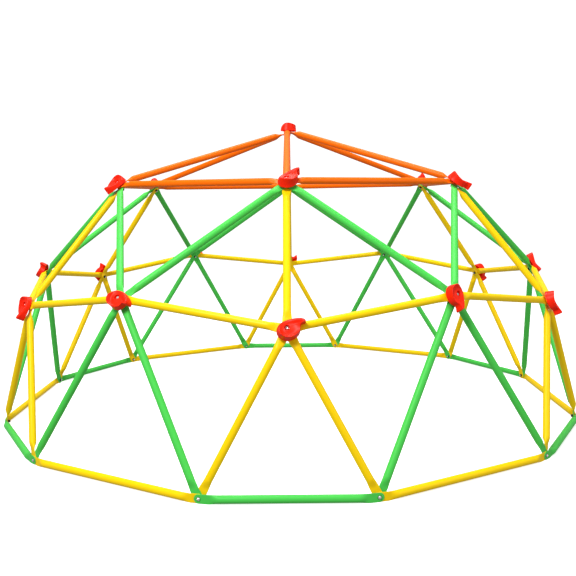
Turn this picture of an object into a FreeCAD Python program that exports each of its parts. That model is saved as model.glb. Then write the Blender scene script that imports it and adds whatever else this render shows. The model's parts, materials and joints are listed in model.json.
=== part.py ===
"""Dome climber: a six-sided geodesic climbing frame of bolted steel tubes with moulded hand grips.

Every tube is pressed flat at both ends, and each joint of the dome is one bolt through a stack of those flat ends.
Units are millimetres. The origin is the centre of the base circle on the ground, +Z is up, and the frame repeats
every sixty degrees about +Z.
"""
import FreeCAD, Part

import math
import os

Vector = FreeCAD.Vector

# Dome: where the bolts stand
SECTORS = 6
BASE_RADIUS = 1524.0
BASE_HALF_ANGLE = 12.95
UPPER_RADIUS = 944.0
UPPER_HEIGHT = 1187.0
APEX_HEIGHT = 1475.0
SHORT_STRUT = 721.0
LONG_STRUT = 853.0
FIRST_AZIMUTH = -90.0

# Tube and its pressed ends
TUBE_RADIUS = 16.0
TUBE_WALL = 1.2
TONGUE_WIDTH = 38.0
TONGUE_THICKNESS = 3.0
TONGUE_REACH = 37.0
TAPER_LENGTH = 45.0
STACK_PITCH = 3.1
BOLT_HOLE_RADIUS = 4.5
VENT_RADIUS = 3.5
VENT_REACH = 11.0

# Bolts, washers and lock nuts
BOLT_RADIUS = 4.0
HEAD_RADIUS = 7.0
HEAD_HEIGHT = 4.4
SOCKET_ACROSS_FLATS = 5.0
SOCKET_DEPTH = 2.6
WASHER_RADIUS = 8.0
WASHER_HOLE_RADIUS = 4.3
WASHER_THICKNESS = 1.6
NUT_ACROSS_FLATS = 13.0
NUT_HEIGHT = 8.0
NUT_BORE_RADIUS = 4.05
THREAD_BEYOND_NUT = 2.5

# Hand grip, drawn with its hooked tip towards the upper right
GRIP_RIM = 4.0
GRIP_RIDGE = 41.0
GRIP_RIDGE_RISE = 0.15
GRIP_RIDGE_FALL = 0.25
GRIP_HOLLOW_TOP = 24.0
GRIP_WALL_SCALE = 0.88
GRIP_BOWL_RADIUS = 40.0
GRIP_BOWL_FLOOR = 30.0
GRIP_BOSS_RADIUS = 16.0
GRIP_RECESS_RADIUS = 11.5
GRIP_RECESS_FLOOR = 17.0
GRIP_BORE_RADIUS = 4.1
GRIP_CLEARANCE = 0.3
GRIP_CENTRE = Vector(5.0, -6.0, 0.0)

# How far each grip is turned about its bolt, seen from outside, in order round the dome
APEX_GRIP_TURN = -67.0
UPPER_GRIP_TURNS = (20.0, -115.0, 95.0, 20.0, 200.0, -140.0)
LOW_GRIP_TURNS = (0.0, -117.0, -134.0, 113.0, 60.0, -100.0)
MID_GRIP_TURNS = (-109.0, 63.0, -40.0, 160.0, 20.0, -43.0)

HALF_WIDTH = TONGUE_WIDTH / 2
BASE_BOLT_HEIGHT = HALF_WIDTH
SECTOR_ANGLE = 360.0 / SECTORS
UP = Vector(0, 0, 1)


class Hub:
    """One bolted joint: where its bolt crosses the middle of the stack, and the bolt's outward axis."""

    def __init__(self, radius, height, azimuth, layers, axis=None):
        turn = math.radians(azimuth)
        self.point = Vector(radius * math.cos(turn), radius * math.sin(turn), height + BASE_BOLT_HEIGHT)
        self.axis = axis or (self.point - Vector(0, 0, BASE_BOLT_HEIGHT)).normalize()
        self.layers = layers

    def layer(self, index):
        """The middle of one flat end in the stack; layer 0 is the outermost."""
        return self.point + self.axis * (STACK_PITCH * ((self.layers - 1) / 2 - index))

    def outer_face(self):
        return self.layer(0) + self.axis * (TONGUE_THICKNESS / 2)

    def inner_face(self):
        return self.layer(self.layers - 1) - self.axis * (TONGUE_THICKNESS / 2)

    def placement(self, origin, turn=0.0):
        """A frame at origin with +Z along the bolt and +Y as near to straight up as it can be."""
        upward = UP - self.axis * self.axis.dot(UP)
        upward = upward.normalize() if upward.Length > 0.01 else Vector(0, 1, 0)
        right = upward.cross(self.axis)
        frame = FreeCAD.Matrix(
            right.x, upward.x, self.axis.x, origin.x,
            right.y, upward.y, self.axis.y, origin.y,
            right.z, upward.z, self.axis.z, origin.z,
        )
        spin = FreeCAD.Placement(Vector(), FreeCAD.Rotation(Vector(0, 0, 1), turn))
        return FreeCAD.Placement(frame).multiply(spin)


def hub_circle(half_angle_above, half_angle_below, strut):
    """Radius and height of a hub one strut away from the upper hubs and from the base bolts beside it."""
    above = math.radians(half_angle_above)
    below = math.radians(half_angle_below)
    upper_r, upper_z = UPPER_RADIUS * math.cos(above), UPPER_HEIGHT
    base_r = BASE_RADIUS * math.cos(below)
    from_upper = math.sqrt(strut**2 - (UPPER_RADIUS * math.sin(above)) ** 2)
    from_base = math.sqrt(strut**2 - (BASE_RADIUS * math.sin(below)) ** 2)
    span = math.hypot(upper_r - base_r, upper_z)
    along = (from_base**2 - from_upper**2 + span**2) / (2 * span)
    out = math.sqrt(from_base**2 - along**2)
    step_r, step_z = (upper_r - base_r) / span, upper_z / span
    return base_r + along * step_r + out * step_z, along * step_z - out * step_r


def make_hubs():
    """All the dome's hubs, each ring listed in order round the dome from the front."""
    low_r, low_z = hub_circle(0.0, BASE_HALF_ANGLE, SHORT_STRUT)
    mid_r, mid_z = hub_circle(SECTOR_ANGLE / 2, SECTOR_ANGLE / 2 - BASE_HALF_ANGLE, LONG_STRUT)
    hubs = {"apex": [Hub(0.0, APEX_HEIGHT, 0.0, 6)], "upper": [], "low": [], "mid": [], "left": [], "right": []}
    for k in range(SECTORS):
        azimuth = FIRST_AZIMUTH + k * SECTOR_ANGLE
        hubs["upper"].append(Hub(UPPER_RADIUS, UPPER_HEIGHT, azimuth, 6))
        hubs["low"].append(Hub(low_r, low_z, azimuth, 5))
        hubs["mid"].append(Hub(mid_r, mid_z, azimuth + SECTOR_ANGLE / 2, 6))
        hubs["left"].append(Hub(BASE_RADIUS, 0.0, azimuth - BASE_HALF_ANGLE, 4))
        hubs["right"].append(Hub(BASE_RADIUS, 0.0, azimuth + BASE_HALF_ANGLE, 4))
    return hubs


# Tubes

def flat_section(centre, wide, thick, half_width, half_thick):
    """A pressed tube's section: two straight sides joined by two half circles."""
    flat = half_width - half_thick
    corners = [centre + wide * (x * flat) + thick * (y * half_thick) for x, y in ((-1, 1), (1, 1), (1, -1), (-1, -1))]
    right = centre + wide * half_width
    left = centre - wide * half_width
    return Part.Wire([
        Part.makeLine(corners[0], corners[1]),
        Part.Arc(corners[1], right, corners[2]).toShape(),
        Part.makeLine(corners[2], corners[3]),
        Part.Arc(corners[3], left, corners[0]).toShape(),
    ])


def round_section(centre, wide, thick, radius):
    """A round tube's section, split where the pressed section's sides and edges meet."""
    def at(degrees):
        turn = math.radians(degrees)
        return centre + wide * (radius * math.cos(turn)) + thick * (radius * math.sin(turn))

    stops = ((150, 90, 30), (30, 0, -30), (-30, -90, -150), (-150, 180, 150))
    return Part.Wire([Part.Arc(at(a), at(b), at(c)).toShape() for a, b, c in stops])


def tongue(bolt_point, axis, along):
    """The flat end: a rounded tab about the bolt hole, out to the bend."""
    wide = axis.cross(along)
    half_thick = TONGUE_THICKNESS / 2
    bend = flat_section(bolt_point + along * TONGUE_REACH, wide, axis, HALF_WIDTH, half_thick)
    tab = Part.Face(bend).extrude(along * -TONGUE_REACH)
    disc = Part.makeCylinder(HALF_WIDTH, TONGUE_THICKNESS, bolt_point - axis * half_thick, axis)
    return tab.fuse(disc)


def taper(bend, bolt_axis, along, tube_axis):
    """The pressed-to-round length of the outside, and the hollow inside it."""
    wide = bolt_axis.cross(along)
    tube_wide = (wide - tube_axis * wide.dot(tube_axis)).normalize()
    tube_thick = tube_axis.cross(tube_wide)
    round_end = bend + tube_axis * TAPER_LENGTH
    outside = Part.makeLoft([
        flat_section(bend, wide, bolt_axis, HALF_WIDTH, TONGUE_THICKNESS / 2),
        round_section(round_end, tube_wide, tube_thick, TUBE_RADIUS),
    ], True, True)
    start = bend + tube_axis * (TAPER_LENGTH / 10)
    inside = Part.makeLoft([
        flat_section(start, tube_wide, tube_thick, HALF_WIDTH - 2 * TUBE_WALL, TUBE_WALL / 2),
        round_section(round_end, tube_wide, tube_thick, TUBE_RADIUS - TUBE_WALL),
    ], True, True)
    return outside, inside


def strut(start_hub, start_layer, end_hub, end_layer):
    """One tube from bolt to bolt, pressed flat, bent and drilled at both ends."""
    bolts = [start_hub.layer(start_layer), end_hub.layer(end_layer)]
    axes = [start_hub.axis, end_hub.axis]
    outward = [bolts[1] - bolts[0], bolts[0] - bolts[1]]
    along = [(o - a * o.dot(a)).normalize() for o, a in zip(outward, axes)]
    bends = [b + t * TONGUE_REACH for b, t in zip(bolts, along)]
    run = (bends[1] - bends[0]).normalize()
    tube_axes = [run, run * -1]
    ends = [b + u * TAPER_LENGTH for b, u in zip(bends, tube_axes)]
    length = (ends[1] - ends[0]).Length
    body = Part.makeCylinder(TUBE_RADIUS, length, ends[0], run)
    hollow = Part.makeCylinder(TUBE_RADIUS - TUBE_WALL, length, ends[0], run)
    tools = []
    for bolt, axis, t, bend, tube_axis in zip(bolts, axes, along, bends, tube_axes):
        outside, inside = taper(bend, axis, t, tube_axis)
        body = body.fuse([outside, tongue(bolt, axis, t)])
        hollow = hollow.fuse(inside)
        tools.append(Part.makeCylinder(BOLT_HOLE_RADIUS, 2 * STACK_PITCH, bolt - axis * STACK_PITCH, axis))
        vent = bend + tube_axis * VENT_REACH
        tools.append(Part.makeCylinder(VENT_RADIUS, TUBE_RADIUS, vent, axis * -1))
    return body.cut([hollow] + tools)


def strut_sets(hubs):
    """Every strut by node name: the sets that repeat in each of the six sectors."""
    nodes = {}
    apex = hubs["apex"][0]
    for k in range(SECTORS):
        upper, low, mid = hubs["upper"], hubs["low"], hubs["mid"]
        after, before = (k + 1) % SECTORS, k - 1
        left, right, next_left = hubs["left"][k], hubs["right"][k], hubs["left"][after]
        n = k + 1
        nodes[f"crown_strut_{n}"] = [strut(apex, k, upper[k], 0)]
        nodes[f"upper_ring_strut_{n}"] = [strut(upper[k], 1, upper[after], 2)]
        nodes[f"upper_green_struts_{n}"] = [strut(upper[k], 3, mid[k], 2), strut(upper[k], 4, mid[before], 3)]
        nodes[f"middle_yellow_struts_{n}"] = [
            strut(upper[k], 5, low[k], 2),
            strut(low[k], 0, mid[k], 1),
            strut(low[k], 1, mid[before], 0),
        ]
        nodes[f"lower_yellow_struts_{n}"] = [
            strut(low[k], 3, right, 2),
            strut(low[k], 4, left, 3),
            strut(right, 1, next_left, 1),
        ]
        nodes[f"lower_green_struts_{n}"] = [
            strut(mid[k], 4, right, 3),
            strut(mid[k], 5, next_left, 2),
            strut(left, 0, right, 0),
        ]
    return nodes


# Fasteners

def hexagon(across_flats, height, base):
    """A hexagonal prism standing on base, centred on +Z."""
    corner = across_flats / math.sqrt(3)
    points = [base + Vector(corner * math.cos(a), corner * math.sin(a), 0) for a in
              (math.radians(60 * i) for i in range(7))]
    return Part.Face(Part.makePolygon(points)).extrude(Vector(0, 0, height))


def bolt(length):
    """A button-head socket bolt with the underside of its head at the origin and its shank along -Z."""
    sphere_radius = (HEAD_RADIUS**2 + HEAD_HEIGHT**2) / (2 * HEAD_HEIGHT)
    dome = Part.makeSphere(sphere_radius, Vector(0, 0, HEAD_HEIGHT - sphere_radius))
    head = Part.makeCylinder(HEAD_RADIUS, HEAD_HEIGHT).common(dome)
    shank = Part.makeCylinder(BOLT_RADIUS, length, Vector(0, 0, -length))
    socket = hexagon(SOCKET_ACROSS_FLATS, SOCKET_DEPTH + 1, Vector(0, 0, HEAD_HEIGHT - SOCKET_DEPTH))
    return head.fuse(shank).cut(socket)


def washer():
    """A plain washer standing on the origin along +Z."""
    ring = Part.makeCylinder(WASHER_RADIUS, WASHER_THICKNESS)
    return ring.cut(Part.makeCylinder(WASHER_HOLE_RADIUS, WASHER_THICKNESS))


def lock_nut():
    """A hexagon nut with a domed collar, hanging from the origin along -Z."""
    body = hexagon(NUT_ACROSS_FLATS, NUT_HEIGHT, Vector(0, 0, -NUT_HEIGHT))
    cone = Part.makeCone(NUT_ACROSS_FLATS * 0.45, NUT_ACROSS_FLATS * 0.45 + NUT_HEIGHT, NUT_HEIGHT,
                         Vector(0, 0, -NUT_HEIGHT))
    bore = Part.makeCylinder(NUT_BORE_RADIUS, NUT_HEIGHT, Vector(0, 0, -NUT_HEIGHT))
    return body.common(cone).cut(bore)


def fasteners(hubs):
    """The bolts, washers and lock nuts of every hub."""
    nodes = {"hub_bolts": [], "base_bolts": [], "washers": [], "lock_nuts": []}
    under_nut = WASHER_THICKNESS + NUT_HEIGHT + THREAD_BEYOND_NUT
    for ring, members in hubs.items():
        gripped = ring in ("apex", "upper", "low", "mid")
        for hub in members:
            rise = GRIP_CLEARANCE * 2 + GRIP_RECESS_FLOOR if gripped else 0.0
            seat = hub.outer_face() + hub.axis * rise
            washer_low = hub.inner_face() - hub.axis * WASHER_THICKNESS
            head = seat + hub.axis * WASHER_THICKNESS
            length = (head - hub.inner_face()).Length + under_nut
            nodes["hub_bolts" if gripped else "base_bolts"].append(placed(bolt(length), hub.placement(head)))
            nodes["washers"].append(placed(washer(), hub.placement(seat)))
            nodes["washers"].append(placed(washer(), hub.placement(washer_low)))
            nodes["lock_nuts"].append(placed(lock_nut(), hub.placement(washer_low)))
    return nodes


# Hand grips

def grip_outline(corners, scale, height, rise=0.0, fall=0.0):
    """A closed outline through six corners and the crowns of its five arcs, level or tilted across x and y."""
    def at(x, y):
        point = GRIP_CENTRE + (Vector(x, y, 0) - GRIP_CENTRE) * scale
        return point + Vector(0, 0, height + rise * point.x - fall * point.y)

    left, to_bottom, bottom, to_right, right, to_neck, neck, under_tip, tip, over_tip, to_left = (
        at(*corner) for corner in corners
    )
    return Part.Wire([
        Part.Arc(left, to_bottom, bottom).toShape(),
        Part.Arc(bottom, to_right, right).toShape(),
        Part.Arc(right, to_neck, neck).toShape(),
        Part.makeLine(neck, under_tip),
        Part.Arc(under_tip, tip, over_tip).toShape(),
        Part.Arc(over_tip, to_left, left).toShape(),
    ])


GRIP_RIM_CORNERS = (
    (-43, -11), (-32, -37), (-1, -51), (34, -39), (54, -9), (54, 8), (57, 19), (66, 23), (69, 31), (60, 37), (0, 32),
)
GRIP_RIDGE_CORNERS = (
    (-33, -8), (-22, -25), (0, -31), (26, -25), (43, -8), (45, 7), (50, 18), (60, 23), (63, 29), (56, 33), (0, 24),
)


def grip():
    """A hollow moulded hold on a boss, with a counterbored bolt hole; it stands on the origin along +Z."""
    outer = Part.makeLoft([
        grip_outline(GRIP_RIM_CORNERS, 1.0, GRIP_RIM),
        grip_outline(GRIP_RIDGE_CORNERS, 1.0, GRIP_RIDGE, GRIP_RIDGE_RISE, GRIP_RIDGE_FALL),
    ], True, True)
    inner = Part.makeLoft([
        grip_outline(GRIP_RIM_CORNERS, GRIP_WALL_SCALE, GRIP_RIM - 1.0),
        grip_outline(GRIP_RIDGE_CORNERS, GRIP_WALL_SCALE, GRIP_HOLLOW_TOP),
    ], True, True)
    boss = Part.makeCylinder(GRIP_BOSS_RADIUS, GRIP_BOWL_FLOOR)
    bowl = Part.makeSphere(GRIP_BOWL_RADIUS, Vector(0, 0, GRIP_BOWL_FLOOR + GRIP_BOWL_RADIUS))
    recess = Part.makeCylinder(GRIP_RECESS_RADIUS, GRIP_RIDGE, Vector(0, 0, GRIP_RECESS_FLOOR))
    bore = Part.makeCylinder(GRIP_BORE_RADIUS, GRIP_RIDGE)
    return outer.cut(inner).fuse(boss).cut([bowl, recess, bore])


def grips(hubs):
    """One grip on every hub above the base."""
    shape = grip()
    turns = {
        "apex": (APEX_GRIP_TURN,), "upper": UPPER_GRIP_TURNS, "low": LOW_GRIP_TURNS, "mid": MID_GRIP_TURNS,
    }
    nodes = {}
    for ring, angles in turns.items():
        for n, (hub, turn) in enumerate(zip(hubs[ring], angles), start=1):
            name = "apex_grip" if ring == "apex" else f"{ring}_grip_{n}"
            foot = hub.outer_face() + hub.axis * GRIP_CLEARANCE
            nodes[name] = [placed(shape, hub.placement(foot, turn))]
    return nodes


# Output

def placed(shape, placement):
    copy = shape.copy()
    copy.Placement = placement
    return copy


def main():
    os.makedirs("parts", exist_ok=True)
    hubs = make_hubs()
    nodes = {**strut_sets(hubs), **fasteners(hubs), **grips(hubs)}
    for name, solids in nodes.items():
        shape = solids[0] if len(solids) == 1 else Part.makeCompound(solids)
        shape.exportStep(f"parts/{name}.step")
        print(name, len(shape.Solids), round(shape.Volume), shape.isValid())
    print(len(nodes), "nodes")


main()
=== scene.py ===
"""Dome climber: the finished look of its tubes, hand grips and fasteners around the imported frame."""

import json
import logging
import math
from dataclasses import dataclass, field
from enum import Enum
from typing import Any, Callable, Iterable, Sequence

import bmesh
import bpy
from mathutils import Matrix, Vector


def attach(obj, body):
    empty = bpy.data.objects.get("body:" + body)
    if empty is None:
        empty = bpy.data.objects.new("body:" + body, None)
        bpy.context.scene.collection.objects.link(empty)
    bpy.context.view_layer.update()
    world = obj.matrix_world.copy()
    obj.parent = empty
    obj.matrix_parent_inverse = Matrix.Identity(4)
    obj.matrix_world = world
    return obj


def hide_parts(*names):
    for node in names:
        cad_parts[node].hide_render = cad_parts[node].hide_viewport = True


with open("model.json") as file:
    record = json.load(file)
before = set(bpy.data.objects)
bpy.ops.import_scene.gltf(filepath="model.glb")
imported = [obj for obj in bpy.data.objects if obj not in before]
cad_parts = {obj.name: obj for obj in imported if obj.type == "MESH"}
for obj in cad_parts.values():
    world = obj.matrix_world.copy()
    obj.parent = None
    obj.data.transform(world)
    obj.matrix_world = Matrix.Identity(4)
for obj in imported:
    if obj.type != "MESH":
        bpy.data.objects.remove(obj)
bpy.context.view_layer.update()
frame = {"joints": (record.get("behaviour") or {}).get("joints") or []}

log = logging.getLogger("dome_climber")
UP = Vector((0.0, 0.0, 1.0))
MM = 0.001
SECTORS = 6
NEVER_SHARP = math.pi


class Colour(Enum):
    """The powder-coat colours of the tubes, as the record's material slots name them."""

    ORANGE = "orange_steel"
    GREEN = "green_steel"
    YELLOW = "yellow_steel"


# Shader building


class Scalar:
    """A number that changes over a surface, held by one output socket."""

    def __init__(self, shader: "Shader", socket: bpy.types.NodeSocket) -> None:
        """Wraps an output socket of one shader's node tree."""
        self.shader = shader
        self.socket = socket

    def _math(self, operation: str, first: Any, second: Any) -> "Scalar":
        """Adds one Math node and returns its result."""
        node = self.shader.add("ShaderNodeMath", {"operation": operation}, {0: first, 1: second})
        return Scalar(self.shader, node.outputs[0])

    def __add__(self, other: Any) -> "Scalar":
        """self + other."""
        return self._math("ADD", self, other)

    def __sub__(self, other: Any) -> "Scalar":
        """self - other."""
        return self._math("SUBTRACT", self, other)

    def __rsub__(self, other: Any) -> "Scalar":
        """other - self."""
        return self._math("SUBTRACT", other, self)

    def __mul__(self, other: Any) -> "Scalar":
        """self * other."""
        return self._math("MULTIPLY", self, other)

    __radd__ = __add__
    __rmul__ = __mul__


class Shader:
    """One material's node tree, with the few kinds of node that the finishes need."""

    def __init__(self, name: str) -> None:
        """Makes an empty material of that name."""
        self.material = bpy.data.materials.new(name)
        self.material.use_nodes = True
        self.tree = self.material.node_tree
        self.tree.nodes.clear()
        self.position = self.add("ShaderNodeTexCoord").outputs["Object"]

    def add(
        self, kind: str, settings: dict[str, Any] | None = None, inputs: dict[int | str, Any] | None = None
    ) -> bpy.types.Node:
        """Adds one node.

        Args:
            kind: the node's type.
            settings: its own settings, such as an operation or a ramp's stops.
            inputs: values or links for its sockets, by name or number.

        Returns:
            The new node.
        """
        node = self.tree.nodes.new(kind)
        for name, value in (settings or {}).items():
            if name == "stops":
                for element, (place, level) in zip(node.color_ramp.elements, value):
                    element.position = place
                    element.color = (level, level, level, 1.0)
            else:
                setattr(node, name, value)
        for key, value in (inputs or {}).items():
            source = value.socket if isinstance(value, Scalar) else value
            if isinstance(source, bpy.types.NodeSocket):
                self.tree.links.new(source, node.inputs[key])
            else:
                node.inputs[key].default_value = source
        return node

    def noise(self, size: float, detail: float = 2.0, roughness: float = 0.5) -> Scalar:
        """Noise whose features are about size metres across."""
        node = self.add(
            "ShaderNodeTexNoise",
            inputs={"Vector": self.position, "Scale": 1.0 / size, "Detail": detail, "Roughness": roughness},
        )
        return Scalar(self, node.outputs[0])

    def step(self, value: Scalar, low: float, high: float) -> Scalar:
        """0 below low and 1 above high, with a ramp between them."""
        ramp = self.add("ShaderNodeValToRGB", {"stops": ((low, 0.0), (high, 1.0))}, {0: value})
        return Scalar(self, ramp.outputs[0])

    def attribute(self, name: str) -> Scalar:
        """A number stored on the mesh."""
        node = self.add("ShaderNodeAttribute", {"attribute_name": name})
        return Scalar(self, node.outputs["Fac"])

    def mix(self, factor: Scalar, first: Any, second: Any) -> bpy.types.NodeSocket:
        """A colour between first and second."""
        node = self.add("ShaderNodeMix", {"data_type": "RGBA"}, {0: factor, 6: first, 7: second})
        return node.outputs[2]

    def bump(self, height: Scalar, depth: float, strength: float) -> bpy.types.NodeSocket:
        """A normal for relief depth metres deep."""
        node = self.add("ShaderNodeBump", inputs={"Height": height, "Distance": depth, "Strength": strength})
        return node.outputs[0]

    def surface(self, **sockets: Any) -> bpy.types.Material:
        """Ends the tree in one Principled shader; underscores stand for the spaces in socket names."""
        inputs = {name.replace("_", " "): value for name, value in sockets.items()}
        shader = self.add("ShaderNodeBsdfPrincipled", inputs=inputs)
        self.add("ShaderNodeOutputMaterial", inputs={"Surface": shader.outputs[0]})
        return self.material


def rgba(colour: Sequence[float], gain: float = 1.0) -> tuple[float, float, float, float]:
    """A colour with full alpha, made lighter or darker by gain."""
    return tuple(min(1.0, c * gain) for c in colour) + (1.0,)


@dataclass(frozen=True)
class PowderCoat:
    """Satin powder coat on steel: faint orange peel, slow cloudiness and small chips on the pressed edges."""

    name: str
    colour: tuple[float, float, float]
    chip_colour: tuple[float, float, float] = (0.42, 0.42, 0.43)
    peel_size: float = 2.2 * MM
    cloud_size: float = 120.0 * MM
    chip_size: float = 4.0 * MM
    relief: float = 0.06 * MM
    roughness: float = 0.34
    specular: float = 0.14

    def material(self) -> bpy.types.Material:
        """Builds the finish."""
        shader = Shader(self.name)
        peel = shader.noise(self.peel_size, detail=1.0)
        cloud = shader.noise(self.cloud_size, detail=3.0)
        rub = shader.noise(self.cloud_size / 6, detail=4.0, roughness=0.65)
        chips = shader.step(shader.noise(self.chip_size, detail=5.0) * shader.attribute("edge"), 0.60, 0.64)
        coat = shader.mix(cloud, rgba(self.colour, 0.97), rgba(self.colour, 1.02))
        return shader.surface(
            Base_Color=shader.mix(chips, coat, rgba(self.chip_colour)),
            Roughness=self.roughness + cloud * 0.05 + shader.step(rub, 0.55, 0.85) * 0.10 + chips * 0.2,
            Metallic=chips,
            Normal=shader.bump(peel * 0.7 + rub * 0.3 - chips, self.relief, 0.15),
            Specular_IOR_Level=self.specular,
        )


@dataclass(frozen=True)
class MouldedPlastic:
    """Satin moulded plastic: a fine even grain, slow colour flow and light scuffs."""

    name: str
    colour: tuple[float, float, float]
    grain_size: float = 0.9 * MM
    flow_size: float = 30.0 * MM
    relief: float = 0.06 * MM
    roughness: float = 0.33
    specular: float = 0.16

    def material(self) -> bpy.types.Material:
        """Builds the finish."""
        shader = Shader(self.name)
        grain = shader.noise(self.grain_size, detail=2.0, roughness=0.6)
        flow = shader.noise(self.flow_size, detail=3.0)
        scuff = shader.step(shader.noise(self.flow_size / 3, detail=6.0, roughness=0.7), 0.58, 0.80)
        return shader.surface(
            Base_Color=shader.mix(flow, rgba(self.colour, 0.95), rgba(self.colour, 1.03)),
            Roughness=self.roughness + flow * 0.06 + scuff * 0.10 + grain * 0.05,
            Normal=shader.bump(grain + scuff * 0.3, self.relief, 0.18),
            Specular_IOR_Level=self.specular,
        )


@dataclass(frozen=True)
class ZincPlate:
    """Zinc on hardware steel, bright or blackened: a fine grain and a cloudy tint."""

    name: str
    bright: tuple[float, float, float] = (0.80, 0.81, 0.83)
    warm: tuple[float, float, float] = (0.70, 0.69, 0.64)
    grain_size: float = 0.4 * MM
    cloud_size: float = 5.0 * MM
    relief: float = 0.03 * MM

    def material(self) -> bpy.types.Material:
        """Builds the finish."""
        shader = Shader(self.name)
        grain = shader.noise(self.grain_size, detail=3.0)
        cloud = shader.noise(self.cloud_size, detail=3.0)
        return shader.surface(
            Base_Color=shader.mix(cloud, rgba(self.bright), rgba(self.warm)),
            Metallic=1.0,
            Roughness=0.22 + cloud * 0.14 + grain * 0.08,
            Normal=shader.bump(grain, self.relief, 0.5),
        )


@dataclass(frozen=True)
class Nylon:
    """The pale nylon ring of a lock nut."""

    name: str
    colour: tuple[float, float, float] = (0.70, 0.74, 0.76)
    haze_size: float = 1.5 * MM
    relief: float = 0.04 * MM

    def material(self) -> bpy.types.Material:
        """Builds the finish."""
        shader = Shader(self.name)
        haze = shader.noise(self.haze_size)
        return shader.surface(
            Base_Color=shader.mix(haze, rgba(self.colour, 0.92), rgba(self.colour, 1.05)),
            Roughness=0.42 + haze * 0.1,
            Normal=shader.bump(haze, self.relief, 0.3),
        )


# Mesh building


class Skin:
    """A surface grown ring by ring: each new ring is extruded from the last and set in its place."""

    def __init__(self, mesh: bmesh.types.BMesh, sides: int, place: Callable[[int], Vector]) -> None:
        """Starts a skin with one ring of vertices.

        Args:
            mesh: the bmesh to grow in.
            sides: how many vertices a ring has.
            place: gives the place of a ring's vertex by its number.
        """
        self.mesh = mesh
        self.number = mesh.verts.layers.int.get("number") or mesh.verts.layers.int.new("number")
        verts = bmesh.ops.create_circle(mesh, segments=sides, radius=1.0)["verts"]
        for number, vert in enumerate(verts):
            vert[self.number] = number
            vert.co = place(number)
        self.rim = sorted({edge for vert in verts for edge in vert.link_edges}, key=lambda edge: edge.index)
        self.first = self.rim

    def ring(self, place: Callable[[int], Vector]) -> list[bmesh.types.BMVert]:
        """Grows one ring.

        Args:
            place: gives the place of a ring's vertex by its number.

        Returns:
            The new ring's vertices.
        """
        grown = bmesh.ops.extrude_edge_only(self.mesh, edges=self.rim)["geom"]
        verts = [item for item in grown if isinstance(item, bmesh.types.BMVert)]
        new = set(verts)
        self.rim = [e for e in grown if isinstance(e, bmesh.types.BMEdge) and set(e.verts) <= new]
        for vert in verts:
            vert.co = place(vert[self.number])
        return verts

    def cap(self) -> None:
        """Closes the skin over its last ring."""
        bmesh.ops.edgeloop_fill(self.mesh, edges=self.rim)

    def close(self) -> None:
        """Joins the last ring to the first one."""
        bmesh.ops.bridge_loops(self.mesh, edges=self.rim + self.first)


def polar(radius: float, angle: float, height: float) -> Vector:
    """A point by its distance from the Z axis, its angle and its height."""
    return Vector((radius * math.cos(angle), radius * math.sin(angle), height))


def hexagon_radius(across_flats: float, angle: float) -> float:
    """Distance from a hexagon's centre to its side, in the direction of angle."""
    sixth = math.pi / 3
    return across_flats / 2 / math.cos((angle % sixth) - sixth / 2)


def finish_piece(
    mesh: bmesh.types.BMesh,
    name: str,
    materials: Sequence[bpy.types.Material],
    body: str,
    nodes: Iterable[str],
    sharp_angle: float = math.radians(32),
) -> bpy.types.Object:
    """Turns a bmesh into a piece of the object, smooth but for its sharp edges.

    Args:
        mesh: the finished bmesh, in the row frame, which is freed.
        name: the piece's name.
        materials: its finishes.
        body: the CAD body that it rides on.
        nodes: the CAD nodes that it stands for.
        sharp_angle: edges that turn by more than this stay crisp.

    Returns:
        The new object.
    """
    bmesh.ops.recalc_face_normals(mesh, faces=mesh.faces)
    for face in mesh.faces:
        face.smooth = True
    for edge in mesh.edges:
        edge.smooth = edge.calc_face_angle(0.0) < sharp_angle
    data = bpy.data.meshes.new(name)
    mesh.to_mesh(data)
    mesh.free()
    piece = bpy.data.objects.new(name, data)
    bpy.context.scene.collection.objects.link(piece)
    for material in materials:
        data.materials.append(material)
    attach(piece, body)
    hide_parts(*nodes)
    log.info("%s: %d faces on %s", name, len(data.polygons), body)
    return piece


# The dome's hubs


@dataclass(frozen=True)
class Stack:
    """The pile of flat tube ends at a hub."""

    pitch: float = 3.1 * MM
    end_thickness: float = 3.0 * MM


@dataclass
class Hub:
    """One bolted joint: where its bolt crosses the middle of the stack, and the bolt's outward axis."""

    point: Vector
    axis: Vector
    layers: int
    stack: Stack = field(default_factory=Stack)

    def layer(self, index: int) -> Vector:
        """The middle of one flat end in the stack; layer 0 is the outermost."""
        return self.point + self.axis * (self.stack.pitch * ((self.layers - 1) / 2 - index))

    def outer_face(self) -> Vector:
        """Where the bolt leaves the outside of the stack."""
        return self.layer(0) + self.axis * (self.stack.end_thickness / 2)

    def inner_face(self) -> Vector:
        """Where the bolt leaves the inside of the stack."""
        return self.layer(self.layers - 1) - self.axis * (self.stack.end_thickness / 2)

    def placement(self, origin: Vector, turn: float = 0.0) -> Matrix:
        """A frame with +Z along the bolt.

        Args:
            origin: where it stands.
            turn: its turn about the bolt from +Y nearest to straight up, in radians.

        Returns:
            The frame as a 4 by 4 matrix.
        """
        upward = UP - self.axis * self.axis.dot(UP)
        upward = upward.normalized() if upward.length > 0.01 else Vector((0.0, 1.0, 0.0))
        right = upward.cross(self.axis)
        frame_at = Matrix((right, upward, self.axis)).transposed().to_4x4()
        return Matrix.Translation(origin) @ frame_at @ Matrix.Rotation(turn, 4, "Z")


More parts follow.
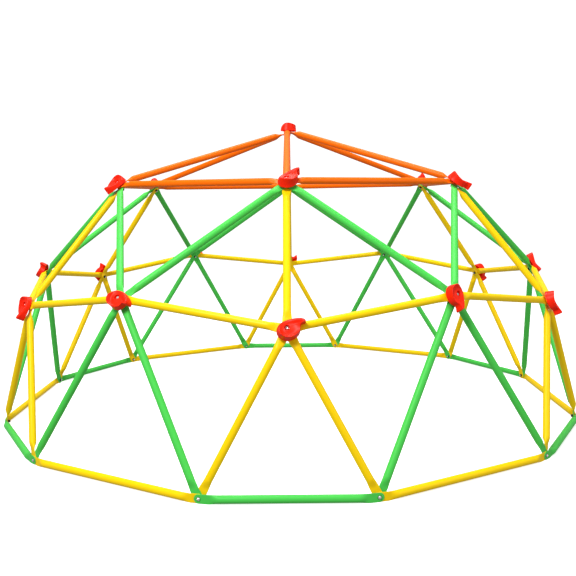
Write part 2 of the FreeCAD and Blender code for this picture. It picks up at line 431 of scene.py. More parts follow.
@dataclass
class Dome:
    """All the hubs: those with a grip come from the frame's joints, the base bolts from the base circle."""

    base_radius: float = 1524.0 * MM
    base_half_angle: float = math.radians(12.95)
    bolt_height: float = 19.0 * MM
    first_azimuth: float = math.radians(-90.0)
    layers: dict[str, int] = field(
        default_factory=lambda: {"apex": 6, "upper": 6, "low": 5, "mid": 6, "left": 4, "right": 4}
    )

    def gripped(self) -> dict[str, list[Hub]]:
        """The hubs above the base, by ring, each in order round the dome."""
        rings: dict[str, list[Hub]] = {"apex": [], "upper": [], "low": [], "mid": []}
        for joint in sorted(frame["joints"], key=lambda item: item["name"]):
            ring = joint["child"].split("_")[0]
            axis = Vector(joint["axis"]).normalized()
            rings[ring].append(Hub(Vector(joint["pos_m"]), axis, self.layers[ring]))
        return rings

    def base(self) -> dict[str, list[Hub]]:
        """The base bolts left and right of each low hub."""
        rings: dict[str, list[Hub]] = {"left": [], "right": []}
        for sector in range(SECTORS):
            for ring, side in (("left", -1), ("right", 1)):
                azimuth = self.first_azimuth + sector * math.tau / SECTORS + side * self.base_half_angle
                axis = polar(1.0, azimuth, 0.0)
                point = axis * self.base_radius + UP * self.bolt_height
                rings[ring].append(Hub(point, axis, self.layers[ring]))
        return rings


# Tubes


@dataclass
class TubeShape:
    """Sizes of a tube that is pressed flat at its ends, bent at the edge of the flat and drilled."""

    radius: float = 16.0 * MM
    half_width: float = 19.0 * MM
    half_thickness: float = 1.5 * MM
    reach: float = 37.0 * MM
    taper: float = 45.0 * MM
    bend: float = 6.0 * MM
    bolt_hole: float = 4.4 * MM
    vent_hole: float = 3.5 * MM
    vent_reach: float = 11.0 * MM
    vent_depth: float = 5.0 * MM
    patch: float = 6.0 * MM
    vent_patch: float = 5.1 * MM
    taper_step: float = 5.0 * MM
    tip_angles: tuple[float, ...] = (30.0, 42.0, 54.0, 65.0, 75.0, 84.0)
    sides: int = 32
    edge_sides: int = 2
    hole_sides: int = 16

    def stations(self) -> list[float]:
        """Distances from the bolt, towards the tube, of the rings from the round tube out to the tip."""
        taper_end = self.reach + self.taper
        vent = self.reach + self.vent_reach
        steps = [taper_end - i * self.taper_step for i in range(6)]
        steps += [vent + i * self.vent_patch / 2 for i in (2, 1, 0, -1, -2)]
        steps += [self.reach + i * self.bend / 2 for i in (1, 0, -1, -2)]
        steps += [self.reach - i * (self.reach - self.patch - self.bend) / 4 for i in (2, 3)]
        steps += [i * self.patch / 2 for i in (2, 1, 0, -1, -2)]
        steps += [-self.half_width * math.sin(math.radians(angle)) for angle in self.tip_angles]
        return steps

    def pressed(self, station: float) -> float:
        """How flat the tube is at a station: 0 is round and 1 is flat."""
        t = min(1.0, max(0.0, (self.reach + self.taper - station) / self.taper))
        return t * t * (3 - 2 * t)

    def section(self, station: float, number: int) -> tuple[float, float]:
        """One point of the tube's section.

        Args:
            station: distance from the bolt along the tube.
            number: which of the ring's points.

        Returns:
            Its place across the flat and through the thickness.
        """
        turn = math.tau * number / self.sides
        round_wide, round_thick = self.radius * math.cos(turn), self.radius * math.sin(turn)
        width, thick = self.half_width, self.half_thickness
        if station < 0:
            width = math.sqrt(self.half_width**2 - station**2)
            inset = min(self.half_thickness, self.half_width + station)
            thick = math.sqrt(self.half_thickness**2 - (self.half_thickness - inset) ** 2)
        edge = self.edge_sides * math.tau / self.sides
        from_side = math.remainder(turn, math.pi)
        side = 1.0 if abs(math.remainder(turn, math.tau)) < math.pi / 2 + 1e-6 else -1.0
        if abs(from_side) <= edge + 1e-6:
            arc = from_side / edge * math.pi / 2
            flat_wide = side * (width - thick + thick * math.cos(arc))
            flat_thick = side * thick * math.sin(arc)
        else:
            upper = 1.0 if math.sin(turn) > 0 else -1.0
            from_top = math.remainder(turn - upper * math.pi / 2, math.tau)
            flat_wide = -upper * (width - thick) * from_top / (math.pi / 2 - edge)
            flat_thick = upper * thick
        p = self.pressed(station)
        return round_wide + (flat_wide - round_wide) * p, round_thick + (flat_thick - round_thick) * p

    def depth(self, station: float, wide: float) -> float:
        """Half the tube's thickness at a station, at a place across it."""
        p = self.pressed(station)
        return (1 - p) * math.sqrt(self.radius**2 - wide**2) + p * self.half_thickness


@dataclass
class TubeEnd:
    """One end of a tube: its bolt, the flat's direction and the tube's direction."""

    shape: TubeShape
    bolt: Vector
    axis: Vector
    along: Vector
    run: Vector

    def place(self, station: float, wide: float, thick: float) -> Vector:
        """A point of the end.

        Args:
            station: distance from the bolt along the end's centre line.
            wide: distance across the flat.
            thick: distance through its thickness, outwards.

        Returns:
            The point in the row frame.
        """
        shape = self.shape
        bend = self.bolt + self.along * shape.reach
        u = min(1.0, max(0.0, (station - shape.reach + shape.bend) / (2 * shape.bend)))
        tangent = self.along.lerp(self.run, u).normalized()
        if u <= 0.0:
            centre = self.bolt + self.along * station
        elif u >= 1.0:
            centre = bend + self.run * (station - shape.reach)
        else:
            start, end = bend - self.along * shape.bend, bend + self.run * shape.bend
            centre = start.lerp(bend, u).lerp(bend.lerp(end, u), u)
        across = self.axis.cross(self.along)
        across = (across - tangent * across.dot(tangent)).normalized()
        return centre + across * wide + tangent.cross(across) * thick

    def build(self, mesh: bmesh.types.BMesh) -> list[bmesh.types.BMEdge]:
        """Grows the end from the round tube to its rounded tip and drills it.

        Args:
            mesh: the tube's bmesh.

        Returns:
            The edges of its open round ring.
        """
        shape = self.shape
        edge = mesh.verts.layers.float.get("edge") or mesh.verts.layers.float.new("edge")

        def ring(station: float) -> Callable[[int], Vector]:
            """The ring of the tube's section at a station."""
            return lambda number: self.place(station, *shape.section(station, number))

        stations = shape.stations()
        skin = Skin(mesh, shape.sides, ring(stations[0]))
        for station in stations[1:]:
            for vert in skin.ring(ring(station)):
                side = abs(math.remainder(math.tau * vert[skin.number] / shape.sides, math.pi))
                on_rim = side < shape.edge_sides * math.tau / shape.sides + 1e-6 or station < -shape.patch
                vert[edge] = 1.0 if on_rim and station < shape.reach else 0.0
        skin.cap()
        self._drill_bolt_hole(mesh)
        self._drill_vent(mesh)
        return skin.first

    def _patch(
        self, mesh: bmesh.types.BMesh, middle: float, half_length: float, side: int
    ) -> list[bmesh.types.BMEdge]:
        """Opens a square patch of one face of the end.

        Args:
            mesh: the tube's bmesh.
            middle: the station at the patch's middle.
            half_length: half the patch's length along the end.
            side: 1 for the outer face, -1 for the inner.

        Returns:
            The edges round the opening.
        """
        centre = self.place(middle, 0.0, 0.0)
        ahead = (self.place(middle + MM, 0.0, 0.0) - centre).normalized()
        across = (self.place(middle, MM, 0.0) - centre).normalized()
        out = ahead.cross(across) * side
        faces = []
        for face in mesh.faces:
            offset = face.calc_center_median() - centre
            near = abs(offset.dot(ahead)) < half_length and abs(offset.dot(across)) < self.shape.patch
            if near and offset.length < 3 * self.shape.patch and offset.dot(out) > 0:
                faces.append(face)
        inside = set(faces)
        border = [e for f in faces for e in f.edges if not set(e.link_faces) <= inside]
        bmesh.ops.delete(mesh, geom=faces, context="FACES")
        return border

    def _drill_bolt_hole(self, mesh: bmesh.types.BMesh) -> None:
        """Cuts the bolt hole through both faces of the flat."""
        rims = []
        for side in (1, -1):
            border = self._patch(mesh, 0.0, self.shape.patch, side)
            rim = self._hole(mesh, 0.0, self.shape.bolt_hole, side)
            bmesh.ops.bridge_loops(mesh, edges=border + rim)
            rims += rim
        bmesh.ops.bridge_loops(mesh, edges=rims)

    def _drill_vent(self, mesh: bmesh.types.BMesh) -> None:
        """Cuts the drain hole in the inner side, just beyond the bend."""
        station = self.shape.reach + self.shape.vent_reach
        border = self._patch(mesh, station, self.shape.vent_patch, -1)
        rim = self._hole(mesh, station, self.shape.vent_hole, -1)
        bmesh.ops.bridge_loops(mesh, edges=border + rim)
        grown = bmesh.ops.extrude_edge_only(mesh, edges=rim)["geom"]
        verts = [item for item in grown if isinstance(item, bmesh.types.BMVert)]
        inward = self.place(station, 0.0, self.shape.vent_depth) - self.place(station, 0.0, 0.0)
        bmesh.ops.translate(mesh, verts=verts, vec=inward)
        new = set(verts)
        floor = [e for e in grown if isinstance(e, bmesh.types.BMEdge) and set(e.verts) <= new]
        bmesh.ops.edgeloop_fill(mesh, edges=floor)

    def _hole(
        self, mesh: bmesh.types.BMesh, station: float, radius: float, side: int
    ) -> list[bmesh.types.BMEdge]:
        """Makes the ring of a drilled hole in one face.

        Args:
            mesh: the tube's bmesh.
            station: the hole's distance from the bolt.
            radius: its radius.
            side: 1 for the outer face, -1 for the inner.

        Returns:
            The ring's edges.
        """
        verts = bmesh.ops.create_circle(mesh, segments=self.shape.hole_sides, radius=radius)["verts"]
        for vert in verts:
            ahead, across = vert.co.x, vert.co.y
            depth = self.shape.depth(station + ahead, across)
            vert.co = self.place(station + ahead, across, side * depth)
        return list({edge for vert in verts for edge in vert.link_edges})


@dataclass
class Tube:
    """One tube from bolt to bolt."""

    name: str
    node: str
    colour: Colour
    start: Hub
    start_layer: int
    end: Hub
    end_layer: int
    shape: TubeShape = field(default_factory=TubeShape)

    def build(self, material: bpy.types.Material) -> bpy.types.Object:
        """Builds the tube and dresses it.

        Args:
            material: its finish.

        Returns:
            The finished piece.
        """
        bolts = (self.start.layer(self.start_layer), self.end.layer(self.end_layer))
        axes = (self.start.axis, self.end.axis)
        outward = (bolts[1] - bolts[0], bolts[0] - bolts[1])
        along = [(o - a * o.dot(a)).normalized() for o, a in zip(outward, axes)]
        bends = [b + t * self.shape.reach for b, t in zip(bolts, along)]
        run = (bends[1] - bends[0]).normalized()
        mesh = bmesh.new()
        rings = []
        for bolt, axis, flat, direction in zip(bolts, axes, along, (run, -run)):
            rings += TubeEnd(self.shape, bolt, axis, flat, direction).build(mesh)
        bmesh.ops.bridge_loops(mesh, edges=rings)
        return finish_piece(mesh, self.name, [material], "frame", [self.node])


@dataclass
class TubeFrame:
    """All the tubes of the dome, in the sets that repeat in each of its sectors."""

    rings: dict[str, list[Hub]]
    coats: dict[Colour, tuple[float, float, float]] = field(
        default_factory=lambda: {
            Colour.ORANGE: (1.0, 0.155, 0.0),
            Colour.GREEN: (0.075, 0.62, 0.085),
            Colour.YELLOW: (1.0, 0.66, 0.002),
        }
    )

    def tubes(self) -> list[Tube]:
        """Every tube, sector by sector."""
        made = []
        for k in range(SECTORS):
            made += self._sector(k)
        return made

    def _sector(self, k: int) -> list[Tube]:
        """The tubes of one sector, each from hub and layer to hub and layer."""
        n, after, before = k + 1, (k + 1) % SECTORS, k - 1
        apex = self.rings["apex"][0]
        upper, low, mid = self.rings["upper"], self.rings["low"], self.rings["mid"]
        left, right, next_left = self.rings["left"][k], self.rings["right"][k], self.rings["left"][after]
        orange, green, yellow = Colour.ORANGE, Colour.GREEN, Colour.YELLOW
        green_node, base_node = f"upper_green_struts_{n}", f"lower_green_struts_{n}"
        ring_node, leg_node = f"middle_yellow_struts_{n}", f"lower_yellow_struts_{n}"
        return [
            Tube(f"crown_tube_{n}", f"crown_strut_{n}", orange, apex, k, upper[k], 0),
            Tube(f"upper_ring_tube_{n}", f"upper_ring_strut_{n}", orange, upper[k], 1, upper[after], 2),
            Tube(f"upper_right_tube_{n}", green_node, green, upper[k], 3, mid[k], 2),
            Tube(f"upper_left_tube_{n}", green_node, green, upper[k], 4, mid[before], 3),
            Tube(f"post_tube_{n}", ring_node, yellow, upper[k], 5, low[k], 2),
            Tube(f"ring_right_tube_{n}", ring_node, yellow, low[k], 0, mid[k], 1),
            Tube(f"ring_left_tube_{n}", ring_node, yellow, low[k], 1, mid[before], 0),
            Tube(f"low_right_leg_{n}", leg_node, yellow, low[k], 3, right, 2),
            Tube(f"low_left_leg_{n}", leg_node, yellow, low[k], 4, left, 3),
            Tube(f"long_base_tube_{n}", leg_node, yellow, right, 1, next_left, 1),
            Tube(f"mid_left_leg_{n}", base_node, green, mid[k], 4, right, 3),
            Tube(f"mid_right_leg_{n}", base_node, green, mid[k], 5, next_left, 2),
            Tube(f"short_base_tube_{n}", base_node, green, left, 0, right, 0),
        ]

    def build(self) -> None:
        """Builds and dresses every tube."""
        finishes = {
            colour: PowderCoat(f"{colour.name.lower()}_powder_coat", rgb).material()
            for colour, rgb in self.coats.items()
        }
        for tube in self.tubes():
            tube.build(finishes[tube.colour])


# Fasteners


@dataclass
class Fasteners:
    """The bolts, washers and lock nuts of every hub."""

    gripped: dict[str, list[Hub]]
    base: dict[str, list[Hub]]
    bolt_radius: float = 4.0 * MM
    head_radius: float = 7.0 * MM
    head_height: float = 4.4 * MM
    socket_flats: float = 5.0 * MM
    socket_depth: float = 2.6 * MM
    washer_radius: float = 8.0 * MM
    washer_hole: float = 4.3 * MM
    washer_thickness: float = 1.6 * MM
    nut_flats: float = 13.0 * MM
    nut_height: float = 8.0 * MM
    collar_height: float = 2.4 * MM
    nut_bore: float = 4.05 * MM
    thread_beyond_nut: float = 2.5 * MM
    thread_pitch: float = 1.25 * MM
    thread_depth: float = 0.55 * MM
    thread_turns: int = 3
    ease: float = 0.25 * MM
    recess_rise: float = 17.6 * MM
    nut_turn: float = math.radians(11.0)
    sides: int = 36

    def _turned(self, mesh: bmesh.types.BMesh, profile: Sequence[tuple[float, float]], at: Matrix) -> Skin:
        """Grows a round skin from radius and height pairs."""

        def ring(radius: float, height: float) -> Callable[[int], Vector]:
            """A round ring."""
            return lambda number: at @ polar(radius, math.tau * number / self.sides, height)

        skin = Skin(mesh, self.sides, ring(*profile[0]))
        for radius, height in profile[1:]:
            skin.ring(ring(radius, height))
        return skin

    def _hexagon(self, flats: float, limit: float, height: float, at: Matrix) -> Callable[[int], Vector]:
        """The ring of a hexagon whose corners are cut back to a circle of radius limit."""

        def place(number: int) -> Vector:
            """One vertex of the ring."""
            angle = math.tau * number / self.sides
            return at @ polar(min(hexagon_radius(flats, angle), limit), angle, height)

        return place

    def bolt(self, mesh: bmesh.types.BMesh, at: Matrix, length: float) -> None:
        """Adds a button-head socket bolt.

        Args:
            mesh: the bmesh to add to.
            at: a frame at the underside of its head, with +Z out of the head.
            length: its length under the head.
        """
        ball = (self.head_radius**2 + self.head_height**2) / (2 * self.head_height)
        middle = self.head_height - ball
        tail = [(self.bolt_radius * 0.35, -length), (self.bolt_radius * 0.78, -length)]
        for turn in range(self.thread_turns):
            foot = -length + 0.5 * self.thread_pitch + turn * self.thread_pitch
            tail.append((self.bolt_radius, foot))
            tail.append((self.bolt_radius - self.thread_depth, foot + self.thread_pitch / 2))
        crown = []
        for step in range(8):
            angle = math.asin(self.head_radius * 0.985 / ball) * (1 - step / 9)
            crown.append((ball * math.sin(angle), middle + ball * math.cos(angle)))
        neck = tail[-1][1] + self.thread_pitch
        profile = tail + [(self.bolt_radius, neck), (self.bolt_radius, 0.0), (self.head_radius * 0.97, 0.0)]
        profile += [(self.head_radius, self.ease), *[c for c in crown if c[0] > self.socket_flats * 0.62]]
        skin = self._turned(mesh, profile, at)
        mouth, bottom = self.head_height - self.ease, self.head_height - self.socket_depth
        for flats, height in ((1.04, mouth), (1.0, mouth - 0.2 * MM), (1.0, bottom)):
            skin.ring(self._hexagon(self.socket_flats * flats, self.head_radius, height, at))
        skin.ring(lambda number: at @ polar(0.4 * MM, math.tau * number / self.sides, bottom - 0.5 * MM))
        skin.cap()
        bmesh.ops.edgeloop_fill(mesh, edges=skin.first)

    def washer(self, mesh: bmesh.types.BMesh, at: Matrix) -> None:
        """Adds a plain washer with eased edges, standing on the frame's origin."""
        ease, thick = self.ease, self.washer_thickness
        outer, inner = self.washer_radius, self.washer_hole
        profile = [
            (inner, ease), (inner + ease, 0.0), (outer - ease, 0.0), (outer, ease),
            (outer, thick - ease), (outer - ease, thick), (inner + ease, thick), (inner, thick - ease),
        ]
        self._turned(mesh, profile, at).close()

    def nut(self, mesh: bmesh.types.BMesh, at: Matrix) -> None:
        """Adds a lock nut that hangs from the frame's origin, with its nylon ring as the second material."""
        flats, tall = self.nut_flats, self.nut_height
        shoulder = -(tall - self.collar_height)
        corner = flats / math.sqrt(3)
        skin = Skin(mesh, self.sides, self._hexagon(flats, flats * 0.5, 0.0, at))
        skin.ring(self._hexagon(flats, corner, -0.5 * MM, at))
        skin.ring(self._hexagon(flats, corner, shoulder + 1.0 * MM, at))
        skin.ring(self._hexagon(flats, flats * 0.52, shoulder + 0.2 * MM, at))
        bore = self.nut_bore

        def grow(profile: Sequence[tuple[float, float]]) -> None:
            """Grows round rings from radius and height pairs."""
            for radius, height in profile:
                skin.ring(lambda number, r=radius, h=height: at @ polar(r, math.tau * number / self.sides, h))

        grow([(flats * 0.46, shoulder - 0.1 * MM), (flats * 0.455, -tall + 0.7 * MM)])
        grow([(flats * 0.42, -tall + 0.1 * MM), (flats * 0.40, -tall)])
        steel = set(mesh.faces)
        grow([(flats * 0.385, -tall + 0.35 * MM), (bore + 0.3 * MM, -tall + 0.45 * MM)])
        for face in set(mesh.faces) - steel:
            face.material_index = 1
        grow([(bore, -tall + 0.8 * MM), (bore, -0.4 * MM), (bore + 0.4 * MM, 0.0)])
        skin.close()

    def build(self) -> None:
        """Builds and dresses the bolts, washers and nuts of the whole dome."""
        zinc, nylon = ZincPlate("zinc_plate").material(), Nylon("nylon_ring").material()
        dark = ZincPlate("black_zinc", bright=(0.070, 0.068, 0.065), warm=(0.045, 0.042, 0.038)).material()
        meshes = {node: bmesh.new() for node in ("hub_bolts", "base_bolts", "washers", "lock_nuts")}
        under_nut = self.washer_thickness + self.nut_height + self.thread_beyond_nut
        hub_sets = ((self.gripped, self.recess_rise, "hub_bolts"), (self.base, 0.0, "base_bolts"))
        for rings, rise, node in hub_sets:
            for hub in (hub for ring in rings.values() for hub in ring):
                seat = hub.outer_face() + hub.axis * rise
                washer_low = hub.inner_face() - hub.axis * self.washer_thickness
                head = seat + hub.axis * self.washer_thickness
                length = (head - hub.inner_face()).length + under_nut
                self.bolt(meshes[node], hub.placement(head), length)
                self.washer(meshes["washers"], hub.placement(seat))
                self.washer(meshes["washers"], hub.placement(washer_low))
                self.nut(meshes["lock_nuts"], hub.placement(washer_low, self.nut_turn))
        for node, mesh in meshes.items():
            materials = {"lock_nuts": [dark, nylon], "washers": [dark]}.get(node, [zinc])
            name = {"lock_nuts": "nuts", "washers": "flat_washers"}.get(node, node.replace("bolts", "screws"))
            finish_piece(mesh, name, materials, "frame", [node])


# Hand grips


@dataclass(frozen=True)
class GripColumn:
    """One spoke of a grip's form: rim and crest in plan, the crest's height and how crisp it is."""

    rim: tuple[float, float]
    crest: tuple[float, float]
    height: float
    crisp: float


@dataclass
class GripForm:
    """The grip's form about its bolt, with the hooked tip towards the upper right, in millimetres."""

    columns: tuple[GripColumn, ...] = (
        GripColumn((-42, -3), (-32, -3), 32.0, 0.3),
        GripColumn((-41, -18), (-31, -14), 41.0, 0.5),
        GripColumn((-34, -33), (-26, -25), 47.0, 0.7),
        GripColumn((-19, -44), (-15, -36), 48.0, 0.8),
        GripColumn((-2, -48), (-1, -41), 46.0, 0.9),
        GripColumn((15, -46), (13, -40), 42.0, 1.0),
        GripColumn((31, -38), (29, -33), 39.0, 1.0),
        GripColumn((44, -26), (42, -22), 36.0, 0.9),
        GripColumn((51, -11), (50, -9), 34.0, 0.7),
        GripColumn((50, 3), (49, 4), 33.0, 0.5),
        GripColumn((51, 12), (51, 13), 36.0, 0.5),
        GripColumn((58, 18), (58, 19), 40.0, 0.4),
        GripColumn((71, 21), (69, 23), 43.0, 0.4),
        GripColumn((73, 29), (70, 28), 42.0, 0.3),
        GripColumn((59, 37), (57, 35), 38.0, 0.1),
        GripColumn((40, 39), (37, 36), 31.0, 0.0),
        GripColumn((21, 38), (19, 33), 26.0, 0.0),
        GripColumn((2, 34), (1, 28), 24.0, 0.0),
        GripColumn((-18, 27), (-14, 21), 24.0, 0.0),
        GripColumn((-35, 13), (-28, 9), 27.0, 0.1),
    )
    foot: float = 4.0
    lip: float = 4.0
    wall: float = 0.88
    mouth_height: float = 27.5
    mouth_fall: float = 0.32
    recess_radius: float = 11.5
    recess_floor: float = 17.0
    bore_radius: float = 4.2
    boss_radius: float = 16.0
    hollow_top: float = 14.0
    first_angle: float = math.radians(185.0)
    levels: int = 2

    def _blend(self, number: int, outward: float, height: float) -> Vector:
        """A point between crest (0) and rim (1) of a column."""
        column = self.columns[number]
        plan = Vector(column.crest).lerp(Vector(column.rim), outward)
        return Vector((plan.x, plan.y, height))

    def _round(self, number: int, radius: float, height: float, fall: float = 0.0) -> Vector:
        """A point of a ring about the bolt, level or falling towards the grip's low side."""
        point = polar(radius, self.first_angle + math.tau * number / len(self.columns), height)
        return point - UP * (fall * point.y)

    def _outside(self) -> list[Callable[[int], Vector]]:
        """The rings from the foot up to the crest."""

        def row(soft: tuple[float, float], crisp: tuple[float, float]) -> Callable[[int], Vector]:
            """A ring of the flank: how far out and how far up it is on a soft and on a crisp column."""

            def place(number: int) -> Vector:
                """One vertex of the ring."""
                column = self.columns[number]
                share = soft[0] + (crisp[0] - soft[0]) * column.crisp
                rise = soft[1] + (crisp[1] - soft[1]) * column.crisp
                low = self.foot + self.lip
                return self._blend(number, share, low + (column.height - low) * rise)

            return place

        return [
            lambda number: self._blend(number, 1.0, self.foot),
            lambda number: self._blend(number, 1.02, self.foot + 1.0),
            lambda number: self._blend(number, 1.0, self.foot + self.lip),
            row((0.98, 0.25), (0.78, 0.07)),
            row((0.90, 0.55), (0.46, 0.26)),
            row((0.70, 0.85), (0.20, 0.68)),
            row((0.35, 0.99), (0.05, 0.97)),
        ]

    def _inside(self) -> list[Callable[[int], Vector]]:
        """The rings from the crest down the bowl, recess and bore, and up the hollow back to the foot."""

        def bowl(soft: tuple[float, float], crisp: tuple[float, float]) -> Callable[[int], Vector]:
            """A ring of the bowl: how far out and how far down it is on a soft and on a crisp column."""

            def place(number: int) -> Vector:
                """One vertex of the ring."""
                column = self.columns[number]
                share = soft[0] + (crisp[0] - soft[0]) * column.crisp
                drop = soft[1] + (crisp[1] - soft[1]) * column.crisp
                mouth = self._round(number, self.recess_radius + 2.0, self.mouth_height, self.mouth_fall)
                point = mouth.lerp(Vector((*column.crest, mouth.z)), share)
                return Vector((point.x, point.y, column.height + (mouth.z - column.height) * drop))

            return place

        def ring(radius: float, height: float, fall: float = 0.0) -> Callable[[int], Vector]:
            """A round ring about the bolt."""
            return lambda number: self._round(number, radius, height, fall)

        def hollow(outward: float, height: float) -> Callable[[int], Vector]:
            """A ring of the hollow, inside the wall."""

            def place(number: int) -> Vector:
                """One vertex of the ring."""
                point = self._blend(number, outward, height)
                return Vector((point.x * self.wall, point.y * self.wall, height))

            return place

        recess, mouth, fall = self.recess_radius, self.mouth_height, self.mouth_fall
        return [
            bowl((0.92, 0.0), (0.96, 0.02)),
            bowl((0.78, 0.12), (0.86, 0.42)),
            bowl((0.60, 0.38), (0.72, 0.92)),
            bowl((0.40, 0.72), (0.50, 1.14)),
            bowl((0.20, 0.94), (0.20, 1.08)),
            ring(recess + 1.2, mouth, fall), ring(recess + 0.2, mouth - 0.3, fall),
            ring(recess, mouth - 1.6, fall),
            ring(recess, self.recess_floor + 0.8), ring(recess - 0.6, self.recess_floor),
            ring(self.bore_radius + 0.6, self.recess_floor), ring(self.bore_radius, self.recess_floor - 0.6),
            ring(self.bore_radius, 0.5), ring(self.bore_radius + 0.5, 0.0),
            ring(self.boss_radius - 0.6, 0.0), ring(self.boss_radius, 0.6),
            ring(self.boss_radius, self.hollow_top - 1.5), ring(self.boss_radius + 1.5, self.hollow_top),
            hollow(0.0, self.hollow_top), hollow(0.25, self.hollow_top - 3.0),
            hollow(0.9, self.foot + 3.0), hollow(1.0, self.foot + 0.4), hollow(1.03, self.foot),
        ]

    def build(self, at: Matrix) -> bmesh.types.BMesh:
        """Builds the grip's cage.

        Args:
            at: a frame on the outer flat end, with +Z along the bolt.

        Returns:
            The cage, ready for its subdivision.
        """
        mesh = bmesh.new()
        rings = self._outside() + self._inside()
        skin = Skin(mesh, len(self.columns), rings[0])
        for ring in rings[1:]:
            skin.ring(ring)
        skin.close()
        bmesh.ops.transform(mesh, matrix=at @ Matrix.Scale(MM, 4), verts=mesh.verts)
        return mesh


@dataclass
class Grips:
    """One hand grip on every hub above the base, each turned its own way about its bolt, in degrees."""

    gripped: dict[str, list[Hub]]
    red: tuple[float, float, float] = (0.96, 0.017, 0.001)
    clearance: float = 0.3 * MM
    turns: dict[str, tuple[float, ...]] = field(
        default_factory=lambda: {
            "apex": (31.0,),
            "upper": (20.0, -95.0, 95.0, 20.0, 200.0, -104.0),
            "low": (0.0, -117.0, -134.0, 113.0, 60.0, -100.0),
            "mid": (-125.0, 63.0, -40.0, 160.0, 20.0, -43.0),
        }
    )

    def build(self) -> None:
        """Builds and dresses every grip."""
        plastic = MouldedPlastic("red_moulded_plastic", self.red).material()
        form = GripForm()
        for ring, hubs in self.gripped.items():
            for n, (hub, turn) in enumerate(zip(hubs, self.turns[ring]), start=1):
                node = "apex_grip" if ring == "apex" else f"{ring}_grip_{n}"
                foot = hub.outer_face() + hub.axis * self.clearance
                mesh = form.build(hub.placement(foot, math.radians(turn)))
                name = node.replace("grip", "hand_grip")
                piece = finish_piece(mesh, name, [plastic], node, [node], NEVER_SHARP)
                smooth = piece.modifiers.new("smooth", "SUBSURF")
                smooth.levels = smooth.render_levels = form.levels


# Studio


@dataclass(frozen=True)
class Lamp:
    """One soft square light: where it hangs, what it points at, its side in metres and its power in watts."""

    name: str
    place: tuple[float, float, float]
    target: tuple[float, float, float]
    size: float
    power: float

    def build(self) -> None:
        """Hangs the light."""
        data = bpy.data.lights.new(self.name, "AREA")
        data.size, data.energy = self.size, self.power
        lamp = bpy.data.objects.new(self.name, data)
        aim = (Vector(self.target) - Vector(self.place)).to_track_quat("-Z", "Y")
        lamp.matrix_world = Matrix.Translation(self.place) @ aim.to_matrix().to_4x4()
        bpy.context.scene.collection.objects.link(lamp)


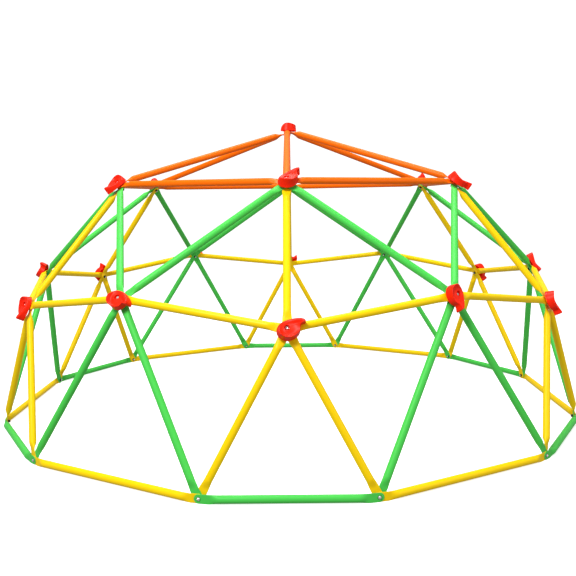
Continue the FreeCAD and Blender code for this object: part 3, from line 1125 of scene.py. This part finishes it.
@dataclass
class Studio:
    """A pale sweep, soft lights and the camera."""

    eye: tuple[float, float, float] = (0.0248, -4.263, 1.152)
    yaw: float = 0.0070
    pitch: float = 0.1194
    roll: float = 0.0115
    lens: float = 47.75
    sensor: float = 36.0
    sweep_half_width: float = 14.0
    sweep_front: float = -9.0
    sweep_back: float = 7.0
    sweep_radius: float = 3.0
    sweep_height: float = 9.0
    sweep_steps: int = 16
    paper: tuple[float, float, float] = (0.90, 0.90, 0.90)
    glow: float = 0.65
    ambience: float = 0.38
    lamps: tuple[Lamp, ...] = (
        Lamp("key", (-2.2, -4.6, 4.8), (0.0, 0.0, 0.7), 1.8, 310.0),
        Lamp("fill", (4.5, -3.5, 2.6), (0.0, 0.0, 0.6), 3.0, 60.0),
        Lamp("top", (0.0, 0.6, 5.6), (0.0, 0.0, 0.0), 3.5, 210.0),
    )

    def camera(self) -> None:
        """Sets up the camera in front of the dome."""
        data = bpy.data.cameras.new("camera")
        data.lens, data.sensor_width = self.lens, self.sensor
        camera = bpy.data.objects.new("camera", data)
        turn = Matrix.Rotation(self.yaw, 4, "Z") @ Matrix.Rotation(math.pi / 2 - self.pitch, 4, "X")
        turn = turn @ Matrix.Rotation(-self.roll, 4, "Z")
        camera.matrix_world = Matrix.Translation(self.eye) @ turn
        bpy.context.scene.collection.objects.link(camera)
        bpy.context.scene.camera = camera

    def sweep(self) -> None:
        """Builds the floor and its curved back as one sheet."""
        mesh = bmesh.new()
        sides = (-self.sweep_half_width, self.sweep_half_width)
        ends = [mesh.verts.new((x, self.sweep_front, 0.0)) for x in sides]
        edge = mesh.edges.new(ends)
        path = [(self.sweep_back, 0.0)]
        for step in range(1, self.sweep_steps + 1):
            angle = math.pi / 2 * step / self.sweep_steps
            rise = self.sweep_radius * (1 - math.cos(angle))
            path.append((self.sweep_back + self.sweep_radius * math.sin(angle), rise))
        path.append((self.sweep_back + self.sweep_radius, self.sweep_height))
        last = Vector((0.0, self.sweep_front, 0.0))
        for y, z in path:
            grown = bmesh.ops.extrude_edge_only(mesh, edges=[edge])["geom"]
            verts = [item for item in grown if isinstance(item, bmesh.types.BMVert)]
            here = Vector((0.0, y, z))
            bmesh.ops.translate(mesh, verts=verts, vec=here - last)
            edge = next(e for e in grown if isinstance(e, bmesh.types.BMEdge) and set(e.verts) == set(verts))
            last = here
        for face in mesh.faces:
            face.smooth = True
        data = bpy.data.meshes.new("studio_sweep")
        mesh.to_mesh(data)
        mesh.free()
        sheet = bpy.data.objects.new("studio_sweep", data)
        bpy.context.scene.collection.objects.link(sheet)
        white = rgba((1.0, 1.0, 1.0))
        look = {"Base_Color": rgba(self.paper), "Roughness": 0.9, "Emission_Color": white}
        data.materials.append(Shader("pale_paper").surface(**look, Emission_Strength=self.glow))
        sheet.visible_diffuse = False
        sheet.visible_glossy = False

    def world(self) -> None:
        """Surrounds the scene with soft white light, which the camera sees as plain white."""
        world = bpy.data.worlds.new("studio")
        world.use_nodes = True
        tree = world.node_tree
        background = tree.nodes["Background"].inputs
        background["Color"].default_value = (1.0, 1.0, 1.0, 1.0)
        strength = tree.nodes.new("ShaderNodeMapRange")
        strength.inputs["To Min"].default_value = self.ambience
        seen = tree.nodes.new("ShaderNodeLightPath").outputs["Is Camera Ray"]
        tree.links.new(seen, strength.inputs["Value"])
        tree.links.new(strength.outputs["Result"], background["Strength"])
        bpy.context.scene.world = world
        bpy.context.scene.view_settings.view_transform = "Standard"

    def build(self) -> None:
        """Builds the whole studio."""
        self.sweep()
        for lamp in self.lamps:
            lamp.build()
        self.world()
        self.camera()


def main() -> None:
    """Builds the studio, then the tubes, grips and fasteners."""
    logging.basicConfig(level=logging.INFO, format="%(message)s")
    dome = Dome()
    gripped, base = dome.gripped(), dome.base()
    Studio().build()
    TubeFrame({**gripped, **base}).build()
    Grips(gripped).build()
    Fasteners(gripped, base).build()


if __name__ == "__main__":
    main()
